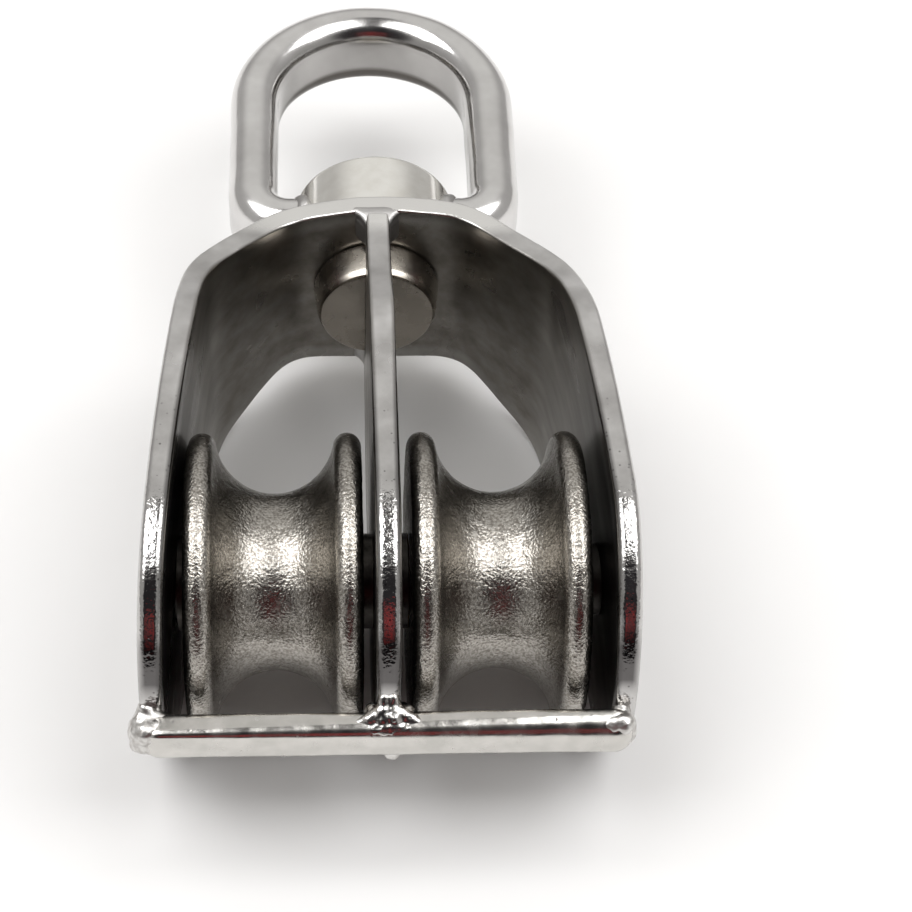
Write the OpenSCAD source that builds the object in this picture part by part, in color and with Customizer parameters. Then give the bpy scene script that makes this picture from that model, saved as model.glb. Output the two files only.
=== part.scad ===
// Double sheave block with a swivel eye.
// A bent steel strap and a middle plate carry one axle with two sheaves side by side.
// Modelled about the axle: X along the axle, Y towards the eye, Z across the plates.
// The finished block is then placed lying on the back edges of its strap.

/* [Sheaves] */
// Outside diameter of a sheave
sheave_d = 25; // [24:0.1:25.4]
// Width of a sheave over its rims
sheave_w = 14.4; // [13.8:0.1:14.6]
// Distance from the middle plate's centre to a sheave's centre
sheave_x = 9.15; // [9.1:0.05:9.3]
// Diameter at the bottom of the rope groove
groove_root_d = 14.8; // [13:0.1:16]
// Rounding radius of the rims
rim_r = 1.15; // [0.9:0.05:1.3]

/* [Bearings] */
// Axle diameter
axle_d = 6; // [5:0.1:6.2]
// Outside diameter of a bush
bush_d = 8; // [7.8:0.1:9]
// Thickness of the washers beside the middle plate
inner_washer_t = 0.8; // [0.5:0.05:0.8]
// Thickness of the washers beside the strap
outer_washer_t = 0.75; // [0.5:0.05:0.75]
// Diameter of the axle's riveted ends
axle_head_d = 9.4; // [8:0.1:11]
// Radial clearance of everything that turns
run_gap = 0.05; // [0.03:0.01:0.1]

/* [Strap] */
// Plate thickness of the strap
strap_t = 2; // [1.8:0.1:2.2]
// Width of the strap's legs, which is also the diameter of their round ends
strap_w = 28; // [27.6:0.1:29]
// Reach of the crown's front edge in front of the axle
crown_front = 9.3; // [9:0.1:10.4]
// Reach of the crown's back edge behind the axle
crown_back = 9.9; // [9:0.1:11]
// Height of the crown's inner face above the axle
crown_y = 34.2; // [34:0.1:36]
// Width of the crown's inner face between its two corners
crown_flat = 15.7; // [15:0.1:16.4]
// Angle by which the shoulders slope down from the crown
shoulder_slope = 48.7; // [47:0.1:50]
// Height of the shoulders' inner corners above the axle
shoulder_y = 26; // [25.5:0.1:26.5]
// Height above the axle where the front edges reach the legs' full width
front_full_y = 19.5; // [18:0.5:24]
// Height above the axle where the back edges reach the legs' full width
back_full_y = 25.5; // [22:0.5:27]
// Outward lean of each leg just below its shoulder
leg_lean = 7.7; // [7.5:0.1:8.5]
// Radius to which the legs are bowed
leg_bow_r = 290; // [280:5:400]

/* [Middle plate and tie bar] */
// Thickness of the middle plate
mid_t = 2.1; // [1.9:0.1:2.2]
// Thickness of the tie bar
bar_t = 2.4; // [2:0.1:3]
// Height of the tie bar across the plates
bar_h = 3.4; // [3:0.1:4]
// Length of the tie bar
bar_l = 39.2; // [38.8:0.1:39.6]
// Rounding of the tie bar's long edges
bar_round = 0.7; // [0.4:0.1:1]

/* [Swivel] */
// Diameter of the swivel pin's shank
pin_d = 6; // [5:0.1:7]
// Diameter of the swivel pin's head inside the strap
pin_head_d = 11.5; // [10:0.1:12]
// Thickness of the swivel pin's head
pin_head_t = 3.5; // [3:0.1:4]
// Diameter of the hub outside the strap
hub_d = 15; // [14:0.1:15.4]
// Length of the hub
hub_l = 7.7; // [7:0.1:8]

/* [Eye] */
// Thickness of the eye's bar in the plane of the eye
eye_bar_w = 4.6; // [4:0.1:4.9]
// Thickness of the eye's bar across the plane of the eye
eye_bar_h = 7.6; // [6:0.1:8]
// Distance between the centres of the eye's two legs
eye_pitch = 23; // [21:0.1:23]
// Height of the middle of the eye's lower run above the axle
eye_low_y = 41; // [40.5:0.1:41.5]
// Height of the middle of the eye's crown above the axle
eye_top_y = 68.5; // [64:0.1:74]
// Bend radius of the eye's lower corners, to the middle of the bar
eye_corner_r = 3.5; // [3:0.1:4]

/* [Hidden] */
$fn = 96;

left = -1;
right = 1;
slack = 0.1;                 // end play between faces that turn on each other
seat = 0.02;                 // radial gap round a riveted or pressed shank
beyond = 1;                  // how far a cutting shape runs past the solid it cuts

sheave_r = sheave_d / 2;
axle_r = axle_d / 2;
bush_r = bush_d / 2;
pin_r = pin_d / 2;
hub_r = hub_d / 2;
strap_r = strap_w / 2;

// Rope groove: an arc through the groove's bottom that runs smoothly into both round rims
rim_x = sheave_w / 2 - rim_r;
rim_y = sheave_r - rim_r;
root_y = groove_root_d / 2;
groove_r = (rim_x ^ 2 + (rim_y - root_y) ^ 2 - rim_r ^ 2) / (2 * (rim_r + rim_y - root_y));
groove_y = root_y + groove_r;
meet_x = rim_x * groove_r / (groove_r + rim_r);
meet_y = groove_y + (rim_y - groove_y) * groove_r / (groove_r + rim_r);

// Strap path, along the middle of its thickness, from the middle of the crown outwards
corner_r = 3;
shoulder_r = 5;
lower_bend = 90 - leg_lean - shoulder_slope;
slope_inside = (crown_y - shoulder_y) / sin(shoulder_slope);
corner_add = tan(shoulder_slope / 2);
shoulder_add = tan(lower_bend / 2);
strap_path = [
    [crown_flat / 2 + strap_t / 2 * corner_add - corner_r * corner_add, shoulder_slope, corner_r],
    [slope_inside + (strap_t / 2 - corner_r) * corner_add + (strap_t / 2 - shoulder_r) * shoulder_add,
        lower_bend, shoulder_r],
    [0, leg_lean, leg_bow_r],
];
bend_steps = 10;
taper_end_y = crown_y - strap_t / 2;
front_shoulder = [shoulder_y + 0.5, crown_front + 1.3];
crown_top_y = crown_y + strap_t;
leg_outer_x = crown_flat / 2 + slope_inside * cos(shoulder_slope) + strap_t
    + shoulder_y * tan(leg_lean) - shoulder_y ^ 2 / (2 * leg_bow_r);
axle_head_h = 1.3;

// The middle plate is cut away round the swivel pin's head
head_room = 0.5;
head_top_y = crown_y - slack;
head_face_y = head_top_y - pin_head_t;

eye_leg_x = eye_pitch / 2;
eye_end_y = eye_top_y + eye_bar_w / 2;
arch_y = eye_top_y - eye_leg_x;
hub_y = crown_top_y + slack;
hub_top_y = hub_y + hub_l;

bar_y = -strap_r - bar_t;
weld_reach = 21;             // half the block's width over the welds at the ends of the tie bar
weld_sink = 0.3;             // how far a weld's middle lies below the face that it runs along
corner_weld_r = 1.7;
corner_weld_z = 1.2;
corner_fill_r = 1.1;
corner_fill_in = 2.6;        // how far the corner's inner fill lies in from the weld's reach
fillet_r = 1.1;
fillet_x = 1.9;
neck_r = 0.9;                // weld between the middle plate's round end and the bar
neck_x = 1.1;
neck_z = 1.6;
drop_r = 1;
crown_weld_r = 0.9;
crown_weld_front = [7.2, 8, 8.8];
crown_weld_back = [-9.1, -8.2, -7.3];
eye_weld_r = 0.8;

// Where the axle's centre lies in the finished block
axle_at = [0, -(eye_end_y + bar_y) / 2, strap_r];

module placed() translate(axle_at) children();

// Turns a shape drawn along Z so that it runs along X
module along_x() rotate([0, 90, 0]) children();

// Turns a shape drawn along Z so that it runs along Y
module along_y() rotate([-90, 0, 0]) children();

// Extrudes an outline drawn in Y and Z to a plate with its middle at X = 0
module plate_yz(thickness)
    rotate([90, 0, 90])
        linear_extrude(thickness, center = true) children();

// A ring or washer from z = 0 to z = length
module ring(outer, inner, length)
    difference() {
        cylinder(r = outer, h = length);
        translate([0, 0, -beyond]) cylinder(r = inner, h = length + 2 * beyond);
    }

// A low dome, as a hammer leaves on the end of a rivet
module rivet_dome(r, h) {
    ball_r = (r ^ 2 + h ^ 2) / (2 * h);
    intersection() {
        translate([0, 0, h - ball_r]) sphere(r = ball_r, $fn = 160);
        cylinder(r = r, h = h + beyond);
    }
}

// A weld bead: one ball for each point
module bead(points, r)
    for (p = points) translate(p) sphere(r = r, $fn = 48);

// Points at the distance d outwards from a path of straight lengths, bend angles and bend radii.
// The path starts at "at" and heads along X, and each bend turns it further down.
function path_side(path, d, at, heading = 0, i = 0) =
    i == len(path) ? [] :
    let (run = path[i][0], bend = path[i][1], r = path[i][2],
        centre = at + run * [cos(heading), -sin(heading)] - r * [sin(heading), cos(heading)],
        next = heading + bend)
    concat([for (k = [0 : bend_steps]) let (a = heading + bend * k / bend_steps)
            centre + (r + d) * [sin(a), cos(a)]],
        path_side(path, d, centre + r * [sin(next), cos(next)], next, i + 1));

function reversed(points) = [for (k = [len(points) - 1 : -1 : 0]) points[k]];
function mirrored(points) = [for (p = points) [-p[0], p[1]]];

// Edge view of the whole strap
module strap_outline() {
    start = [0, crown_y + strap_t / 2];
    outer = path_side(strap_path, strap_t / 2, start);
    inner = path_side(strap_path, -strap_t / 2, start);
    polygon(concat(outer, reversed(inner), mirrored(inner), reversed(mirrored(outer))));
}

// Side view of the strap and the middle plate, with Y to the right and Z up
module cheek_outline(top_y) {
    circle(r = strap_r, $fn = 160);
    polygon([[0, -strap_r], [back_full_y, -strap_r], [taper_end_y, -crown_back], [top_y, -crown_back],
        [top_y, crown_front], [taper_end_y, crown_front], front_shoulder,
        [front_full_y, strap_r], [0, strap_r]]);
}

module strap()
    color("silver") placed() difference() {
        intersection() {
            linear_extrude(strap_w + 2 * beyond, center = true) strap_outline();
            plate_yz(3 * sheave_d) cheek_outline(crown_top_y + beyond);
        }
        along_x() cylinder(r = axle_r + seat, h = 3 * sheave_d, center = true);
        translate([0, crown_y - beyond, 0]) along_y()
            cylinder(r = pin_r + run_gap, h = strap_t + 2 * beyond);
    }

module middle_plate()
    color("lightgray") placed() plate_yz(mid_t) difference() {
        cheek_outline(crown_y);
        circle(r = axle_r + seat);
        translate([head_face_y - head_room, -pin_head_d / 2 - head_room])
            square([crown_y, pin_head_d + 2 * head_room]);
    }

module tie_bar()
    color("silver") placed() plate_yz(bar_l) {
        corners = [for (y = [bar_y + bar_round, -strap_r - bar_round],
            z = [-bar_h / 2 + bar_round, bar_h / 2 - bar_round]) [y, z]];
        for (p = corners) translate(p) circle(r = bar_round, $fn = 48);
        translate([bar_y + bar_round, -bar_h / 2]) square([bar_t - 2 * bar_round, bar_h]);
        translate([bar_y, -bar_h / 2 + bar_round]) square([bar_t, bar_h - 2 * bar_round]);
    }

module axle()
    color("gray") placed() along_x() {
        cylinder(r = axle_r, h = 2 * leg_outer_x, center = true);
        for (side = [0, 1]) mirror([0, 0, side])
            translate([0, 0, leg_outer_x - strap_t / 4]) {
                cylinder(r = axle_head_d / 2, h = strap_t / 4);
                translate([0, 0, strap_t / 4]) rivet_dome(axle_head_d / 2, axle_head_h - strap_t / 4);
            }
    }

// Half section of a sheave, with the radius along X and the axle along Y
module sheave_half_section() {
    translate([bush_r, 0]) square([rim_y - bush_r, sheave_w / 2]);
    translate([rim_y, rim_x]) circle(r = rim_r, $fn = 64);
    translate([rim_y - rim_r, meet_x - rim_r]) square([rim_r + meet_y - rim_y, rim_x - meet_x + rim_r]);
}

module sheave(side)
    color("darkgray") placed() translate([side * sheave_x, 0, 0]) along_x()
        rotate_extrude($fn = 180) difference() {
            for (half = [0, 1]) mirror([0, half]) sheave_half_section();
            translate([groove_y, 0]) circle(r = groove_r, $fn = 96);
        }

module bush(side)
    color("darkkhaki") placed() translate([side * sheave_x - sheave_w / 2, 0, 0]) along_x()
        ring(bush_r - seat, axle_r + run_gap, sheave_w);

// A thrust washer on the axle, from the distance x outwards
module thrust_washer(side, x, thickness)
    color("gainsboro") placed() rotate([0, 0, side == left ? 180 : 0]) translate([x, 0, 0]) along_x()
        ring(bush_r, axle_r + run_gap, thickness);

module inner_washer(side) thrust_washer(side, mid_t / 2, inner_washer_t);

module outer_washer(side) thrust_washer(side, sheave_x + sheave_w / 2 + slack, outer_washer_t);

// Weld that closes a corner between the tie bar and a leg's round end
module bar_end_weld(side)
    color("lightsteelblue") placed() {
        bead([for (z = [-corner_weld_z, 0, corner_weld_z])
            [side * (weld_reach - corner_weld_r), -strap_r - weld_sink, z]], corner_weld_r);
        bead([for (z = [-1, 1]) [side * (weld_reach - corner_fill_in), -strap_r - weld_sink / 3, z]],
            corner_fill_r);
    }

// Fillets on both sides of the middle plate, and a drop that ran under the bar
module middle_bar_weld()
    color("lightsteelblue") placed() {
        bead([for (x = [-fillet_x, fillet_x], z = [-fillet_r, 0, fillet_r])
            [x, -strap_r - weld_sink, z]], fillet_r);
        bead([for (x = [-neck_x, neck_x], z = [-neck_z, 0, neck_z])
            [x, -strap_r + 2 / 3 * weld_sink, z]], neck_r);
        bead([[weld_sink, bar_y + fillet_r, -bar_h / 2]], drop_r);
    }

// Beads that hold the middle plate's two upper prongs to the crown
module middle_plate_welds()
    color("lightsteelblue") placed()
        bead([for (x = [-1, 1], z = concat(crown_weld_back, crown_weld_front))
            [x * (mid_t / 2 + weld_sink), crown_y - crown_weld_r / 2, z]], crown_weld_r);

module swivel_pin() {
    edge = 0.4;
    color("silver") placed() translate([0, head_face_y, 0]) along_y() {
        cylinder(r1 = pin_head_d / 2 - edge, r2 = pin_head_d / 2, h = edge);
        translate([0, 0, edge]) cylinder(r = pin_head_d / 2, h = pin_head_t - edge);
        cylinder(r = pin_r, h = hub_top_y - head_face_y);
        translate([0, 0, hub_top_y - head_face_y]) rivet_dome(pin_r * 1.4, 0.9);
    }
}

module swivel_hub() {
    edge = 0.5;
    color("silver") placed() translate([0, hub_y, 0]) along_y() rotate_extrude()
        polygon([[pin_r + seat, 0], [hub_r - edge, 0], [hub_r, edge], [hub_r, hub_l - edge],
            [hub_r - edge, hub_l], [pin_r + seat, hub_l]]);
}

// Section of the eye's bar: w in the plane of the eye, h across it
module bar_section() {
    r = eye_bar_w / 2;
    for (z = [-1, 1]) translate([0, z * (eye_bar_h / 2 - r)]) circle(r = r, $fn = 64);
    square([eye_bar_w, eye_bar_h - eye_bar_w], center = true);
}

// A bend of the eye's bar in the XY plane, from an angle of 0 about the origin
module bar_bend(r, angle) rotate_extrude(angle = angle) translate([r, 0]) bar_section();

module eye_bail() {
    corner_x = eye_leg_x - eye_corner_r;
    corner_y = eye_low_y + eye_corner_r;
    color("silver") placed() difference() {
        union() {
            translate([0, arch_y, 0]) bar_bend(eye_leg_x, 180);
            for (side = [0, 1]) mirror([side, 0, 0]) {
                translate([eye_leg_x, corner_y, 0]) along_y()
                    linear_extrude(arch_y - corner_y) bar_section();
                translate([corner_x, corner_y, 0]) rotate(-90) bar_bend(eye_corner_r, 90);
                translate([0, eye_low_y, 0]) along_x()
                    linear_extrude(corner_x) rotate(90) bar_section();
            }
        }
        translate([0, hub_y - beyond, 0]) along_y()
            cylinder(r = hub_r, h = eye_corner_r + hub_l + 2 * beyond);
    }
}

// Bead round the joint between the hub and one end of the bail
module eye_weld(side)
    color("lightsteelblue") placed()
        bead([for (a = [0 : 15 : 345])
            let (z = (eye_bar_h / 2) * sin(a))
                [side * sqrt(hub_r ^ 2 - z ^ 2), eye_low_y + (eye_bar_w / 2) * cos(a), z]], eye_weld_r);

strap();
middle_plate();
tie_bar();
axle();
sheave(left);  // left_sheave
sheave(right);  // right_sheave
bush(left);  // left_bush
bush(right);  // right_bush
outer_washer(left);  // left_outer_washer
inner_washer(left);  // left_inner_washer
inner_washer(right);  // right_inner_washer
outer_washer(right);  // right_outer_washer
bar_end_weld(left);  // left_bar_weld
middle_bar_weld();
bar_end_weld(right);  // right_bar_weld
middle_plate_welds();
swivel_pin();
swivel_hub();
eye_bail();
eye_weld(left);  // left_eye_weld
eye_weld(right);  // right_eye_weld
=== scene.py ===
from math import atan2, cos, pi, radians, sin, sqrt, tan

import bmesh
import bpy
import numpy as np
from mathutils import Matrix, Vector, noise


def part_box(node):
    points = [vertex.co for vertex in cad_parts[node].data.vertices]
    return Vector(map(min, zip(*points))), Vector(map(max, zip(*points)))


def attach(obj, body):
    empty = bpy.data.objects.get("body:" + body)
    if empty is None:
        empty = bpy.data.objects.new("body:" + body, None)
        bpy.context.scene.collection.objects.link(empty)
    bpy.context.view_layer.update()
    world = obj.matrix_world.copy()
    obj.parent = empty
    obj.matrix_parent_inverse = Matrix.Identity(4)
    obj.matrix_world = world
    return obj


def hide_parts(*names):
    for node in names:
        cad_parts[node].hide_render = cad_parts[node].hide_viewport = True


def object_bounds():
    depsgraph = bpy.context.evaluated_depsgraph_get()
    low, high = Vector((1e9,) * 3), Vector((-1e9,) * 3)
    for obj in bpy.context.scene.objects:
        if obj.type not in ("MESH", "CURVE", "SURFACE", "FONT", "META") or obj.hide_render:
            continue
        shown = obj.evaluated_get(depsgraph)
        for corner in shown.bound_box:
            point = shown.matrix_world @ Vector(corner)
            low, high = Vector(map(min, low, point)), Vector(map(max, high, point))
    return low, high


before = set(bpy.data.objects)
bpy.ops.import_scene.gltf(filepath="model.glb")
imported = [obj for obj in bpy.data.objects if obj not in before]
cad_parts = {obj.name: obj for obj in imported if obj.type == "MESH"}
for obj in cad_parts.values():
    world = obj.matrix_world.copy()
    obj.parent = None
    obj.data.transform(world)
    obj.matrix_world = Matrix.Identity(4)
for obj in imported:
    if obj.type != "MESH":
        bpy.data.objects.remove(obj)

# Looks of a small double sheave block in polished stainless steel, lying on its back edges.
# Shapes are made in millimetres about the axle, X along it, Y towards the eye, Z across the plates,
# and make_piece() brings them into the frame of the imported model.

MM = 0.001
cad_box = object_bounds()


def span(node):
    """Size of a CAD node's box in millimetres."""
    low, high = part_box(node)
    return (high - low) / MM


def middle(node):
    """Middle of a CAD node's box in metres."""
    low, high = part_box(node)
    return (low + high) / 2


AXLE = middle("axle")


def above_axle(node):
    """Lowest and highest Y of a CAD node in millimetres from the axle."""
    low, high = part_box(node)
    return (low.y - AXLE.y) / MM, (high.y - AXLE.y) / MM


# Sizes that the frame gives
STRAP_R = span("middle_plate").z / 2
MID_T = span("middle_plate").x
CROWN_TOP = above_axle("strap")[1]
CROWN_Y = above_axle("middle_plate")[1]
STRAP_T = CROWN_TOP - CROWN_Y
SHEAVE_R = span("left_sheave").z / 2
SHEAVE_W = span("left_sheave").x
SHEAVE_X = (middle("right_sheave").x - AXLE.x) / MM
BUSH_R = span("left_outer_washer").z / 2
AXLE_END = span("axle").x / 2
HUB_R = span("swivel_hub").z / 2
HUB_LOW, HUB_TOP = above_axle("swivel_hub")
PIN_LOW, PIN_TOP = above_axle("swivel_pin")
PIN_HEAD_R = span("swivel_pin").z / 2
BAR_LOW, BAR_TOP = above_axle("tie_bar")
BAR_L = span("tie_bar").x
BAR_H = span("tie_bar").z
EYE_H = span("eye_bail").z
EYE_LOW, EYE_TOP = above_axle("eye_bail")

# Sizes that only the shape itself holds
CROWN_FLAT = 15.7
SHOULDER_SLOPE = radians(48.7)
SHOULDER_Y = 26.0
LEG_LEAN = radians(7.7)
LEG_BOW_R = 290.0
CORNER_R, SHOULDER_R = 6.0, 8.0
AXLE_R = 3.0
# Height above the axle and half width of the cheeks there, on the front and on the back
FRONT_PROFILE = [(0, STRAP_R), (19.5, STRAP_R), (26.5, 10.6), (33.2, 9.3), (37, 9.3)]
BACK_PROFILE = [(0, STRAP_R), (25.5, STRAP_R), (33.2, 9.9), (37, 9.9)]
# Run from the middle of the crown, and how far the front edge stands proud of the plain outline there
FRONT_ARCH = [(-34, 0), (-24, -0.1), (-19, 0.2), (-15, 0.15), (-11, -0.3), (-7.5, -0.95), (-3.5, 0.2),
              (0, 0.5), (3.5, 0.35), (7.5, -0.3), (11, -0.3), (15, -0.1), (24, -0.3), (34, 0)]
HEAD_ROOM = 0.5
RIM_R, ROOT_R = 1.15, 7.4
EYE_W = 4.6
EYE_CORNER_R = 3.5
HEAD_T = 3.5

# The two lights in metres: where they hang, and their sizes along Y and across it
BOX_Y, BOX_UP = -0.04, 0.50
BOX_ALONG, BOX_ACROSS = 0.36, 0.41


# ---------------------------------------------------------------- meshes

def make_piece(name, points, faces, material, body, nodes, attributes=None):
    """A mesh piece from points in millimetres about the axle, in place of the CAD nodes named."""
    mesh = bpy.data.meshes.new(name)
    points = np.asarray(points, float)
    mesh.from_pydata((points * MM + np.array(AXLE)).tolist(), [], faces)
    mesh.validate()
    solid = bmesh.new()
    solid.from_mesh(mesh)
    bmesh.ops.recalc_face_normals(solid, faces=solid.faces)
    solid.to_mesh(mesh)
    solid.free()
    for key, values in (attributes or {}).items():
        mesh.attributes.new(key, "FLOAT", "POINT").data.foreach_set("value", np.asarray(values, np.float32))
    mesh.shade_smooth()
    mesh.materials.append(material)
    piece = bpy.data.objects.new(name, mesh)
    bpy.context.scene.collection.objects.link(piece)
    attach(piece, body)
    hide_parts(*nodes)
    return piece


def grain(point, size, seed):
    """Smooth noise from -1 to 1 whose bumps are about size millimetres wide."""
    shift = Vector((seed * 17.3, seed * 5.9, seed * 11.1))
    return noise.noise(Vector(point) / size + shift)


def roughen(piece, layers, strength=None):
    """Moves the surface along its normals. Each layer is (bump size in mm, depth in mm, seed)."""
    mesh = piece.data
    count = len(mesh.vertices)
    places = np.zeros(count * 3)
    normals = np.zeros(count * 3)
    mesh.vertices.foreach_get("co", places)
    mesh.vertex_normals.foreach_get("vector", normals)
    places, normals = places.reshape(-1, 3), normals.reshape(-1, 3)
    local = (places - np.array(AXLE)) / MM
    lift = np.array([sum(depth * grain(p, size, seed) for size, depth, seed in layers) for p in local])
    if callable(strength):
        lift = lift * strength(local)
    elif strength is not None:
        lift = lift * np.asarray(strength)
    places = np.clip(places + normals * lift[:, None] * MM, *np.array(cad_box))
    mesh.vertices.foreach_set("co", places.ravel())
    mesh.update()


def grid_faces(rows, columns, wrap_rows=False, wrap_columns=True):
    """Quads over a grid of points numbered row by row."""
    faces = []
    for i in range(rows if wrap_rows else rows - 1):
        for j in range(columns if wrap_columns else columns - 1):
            a, b = i * columns + j, i * columns + (j + 1) % columns
            c, d = (i + 1) % rows * columns + (j + 1) % columns, (i + 1) % rows * columns + j
            faces.append((a, b, c, d))
    return faces


def resample(line, step=None, closed=False, count=None):
    """Points about step apart along a line, or count of them round a closed one."""
    line = np.asarray(line, float)
    if closed:
        line = np.vstack([line, line[:1]])
    run = np.concatenate([[0], np.cumsum(np.linalg.norm(np.diff(line, axis=0), axis=1))])
    count = count or max(3, int(round(run[-1] / step)))
    at = np.linspace(0, run[-1], count + 1)
    out = np.stack([np.interp(at, run, line[:, k]) for k in range(line.shape[1])], axis=1)
    return out[:-1] if closed else out


def arc(centre, r, start, end, steps):
    """Points on an arc, with the angles in radians."""
    return [(centre[0] + r * cos(a), centre[1] + r * sin(a)) for a in np.linspace(start, end, steps)]


def rounded_box(width, height, radii, count):
    """Closed outline of a box with its own radius at each corner, from the low left one round."""
    x, y = width / 2, height / 2
    corners = [(-x, -y, pi), (x, -y, 1.5 * pi), (x, y, 0), (-x, y, 0.5 * pi)]
    line = []
    for (cx, cy, start), r in zip(corners, radii):
        centre = (cx - r * np.sign(cx), cy - r * np.sign(cy))
        line += arc(centre, r, start, start + pi / 2, max(4, int(r / 0.12)))
    return resample(line, closed=True, count=count)


def lathe(profile, steps):
    """Points and faces of a turned solid. The profile is a closed line of (radius, height)."""
    profile = np.asarray(profile, float)
    turns = np.linspace(0, 2 * pi, steps, endpoint=False)
    points = [(r * cos(a), h, r * sin(a)) for a in turns for r, h in profile]
    return points, grid_faces(steps, len(profile), wrap_rows=True, wrap_columns=True)


def lathe_to_axis(profile, steps):
    """A turned solid whose profile starts and ends on its own axis."""
    profile = np.asarray(profile, float)
    inner = profile[1:-1]
    turns = np.linspace(0, 2 * pi, steps, endpoint=False)
    points = [(r * cos(a), h, r * sin(a)) for a in turns for r, h in inner]
    faces = grid_faces(steps, len(inner), wrap_rows=True, wrap_columns=False)
    first, last = len(points), len(points) + 1
    points += [(0, profile[0][1], 0), (0, profile[-1][1], 0)]
    for i in range(steps):
        a, b = i * len(inner), (i + 1) % steps * len(inner)
        faces.append((first, a, b))
        faces.append((last, b + len(inner) - 1, a + len(inner) - 1))
    return points, faces


def along_x(points):
    """Turns points made about the Y axis so that they lie about the X axis."""
    return [(y, -x, z) for x, y, z in points]


def moved(points, dx=0, dy=0, dz=0):
    """The same points, shifted."""
    return [(x + dx, y + dy, z + dz) for x, y, z in points]


def chain(keys, step=0.25):
    """Balls close together along key balls of (x, y, z, radius)."""
    return [tuple(ball) for ball in resample(keys, step)]


def lump(name, balls, body, nodes, material, waves, blur=8, cell=0.13):
    """Weld metal: balls of (x, y, z, radius) melted together, then roughened in waves."""
    shape = bmesh.new()
    for x, y, z, r in balls:
        bmesh.ops.create_icosphere(shape, subdivisions=2, radius=r * MM,
                                   matrix=Matrix.Translation(AXLE + Vector((x, y, z)) * MM))
    rough = bpy.data.meshes.new(name + "_balls")
    shape.to_mesh(rough)
    shape.free()
    work = bpy.data.objects.new(name + "_work", rough)
    bpy.context.scene.collection.objects.link(work)
    remesh = work.modifiers.new("melt", "REMESH")
    remesh.mode = "VOXEL"
    remesh.voxel_size = cell * MM
    smooth = work.modifiers.new("flow", "SMOOTH")
    smooth.factor = 0.5
    smooth.iterations = blur
    evaluated = work.evaluated_get(bpy.context.evaluated_depsgraph_get())
    melted = evaluated.to_mesh()
    points = [tuple((v.co - AXLE) / MM) for v in melted.vertices]
    faces = [tuple(p.vertices) for p in melted.polygons]
    evaluated.to_mesh_clear()
    bpy.data.objects.remove(work)
    bpy.data.meshes.remove(rough)
    piece = make_piece(name, points, faces, material, body, nodes)
    roughen(piece, waves)
    return piece


# ---------------------------------------------------------------- plates

def edge_rings(outline, radii, half_t, steps=5, walls=4):
    """Rings of (u, v, w) round a plate's edge, from its bottom face over its side to its top face."""
    outline = np.asarray(outline, float)
    ahead, behind = np.roll(outline, -1, axis=0), np.roll(outline, 1, axis=0)
    tangent = ahead - behind
    tangent /= np.linalg.norm(tangent, axis=1)[:, None]
    inward = np.stack([-tangent[:, 1], tangent[:, 0]], axis=1)
    area = 0.5 * np.sum(outline[:, 0] * ahead[:, 1] - ahead[:, 0] * outline[:, 1])
    inward *= np.sign(area)
    rings, rim = [], []
    angles = np.linspace(-pi / 2, 0, steps + 1)
    for a in angles:
        inset, w = radii * (1 - cos(a)), -(half_t - radii) + radii * sin(a)
        rings.append(np.column_stack([outline + inward * inset[:, None], w]))
        rim.append(1 + sin(a) * 0.8)
    for k in range(1, walls):
        share = k / walls
        w = (half_t - radii) * (2 * share - 1)
        rings.append(np.column_stack([outline, w]))
        rim.append(1)
    for ring, value in list(zip(rings[:steps + 1], rim[:steps + 1]))[::-1]:
        rings.append(np.column_stack([ring[:, :2], -ring[:, 2]]))
        rim.append(value)
    return rings, rim


def bent_path():
    """The strap's middle line from the middle of the crown outwards: run, x, y, and heading below X."""
    outer, add = STRAP_T / 2, tan(SHOULDER_SLOPE / 2)
    lower_bend = pi / 2 - LEG_LEAN - SHOULDER_SLOPE
    sloping = (CROWN_Y - SHOULDER_Y) / sin(SHOULDER_SLOPE)
    spare = 8
    runs = [(CROWN_FLAT / 2 + (outer - CORNER_R) * add, 0.0),
            (CORNER_R * SHOULDER_SLOPE, 1 / CORNER_R),
            (sloping + (outer - CORNER_R) * add + (outer - SHOULDER_R) * tan(lower_bend / 2), 0.0),
            (SHOULDER_R * lower_bend, 1 / SHOULDER_R),
            (LEG_BOW_R * LEG_LEAN + spare, 1 / LEG_BOW_R)]
    step = 0.02  # mm of run
    curve = np.concatenate([np.full(int(round(length / step)), bend) for length, bend in runs])
    ease = 65  # steps on each side that a bend is eased over
    soft = np.ones(2 * ease + 1) / (2 * ease + 1)
    curve = np.convolve(np.pad(curve, ease, mode="edge"), soft, mode="valid")
    heading = np.concatenate([[0], np.cumsum(curve) * step])
    x = np.concatenate([[0], np.cumsum(np.cos(heading[:-1])) * step])
    y = CROWN_Y + STRAP_T / 2 - np.concatenate([[0], np.cumsum(np.sin(heading[:-1])) * step])
    return np.arange(len(x)) * step, x, y, heading


def profile_width(y, profile, reach=2.2):
    """Half width of a cheek at the height y, with the profile's corners eased."""
    ys, zs = zip(*profile)
    return float(np.mean(np.interp(y + np.linspace(-reach, reach, 11), ys, zs)))


def crown_arch(u):
    """How far the crown's front edge stands proud of its plain outline at the run u from the middle."""
    at, rise = zip(*FRONT_ARCH)
    return float(np.mean(np.interp(u + np.linspace(-2.6, 2.6, 15), at, rise)))


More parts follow.
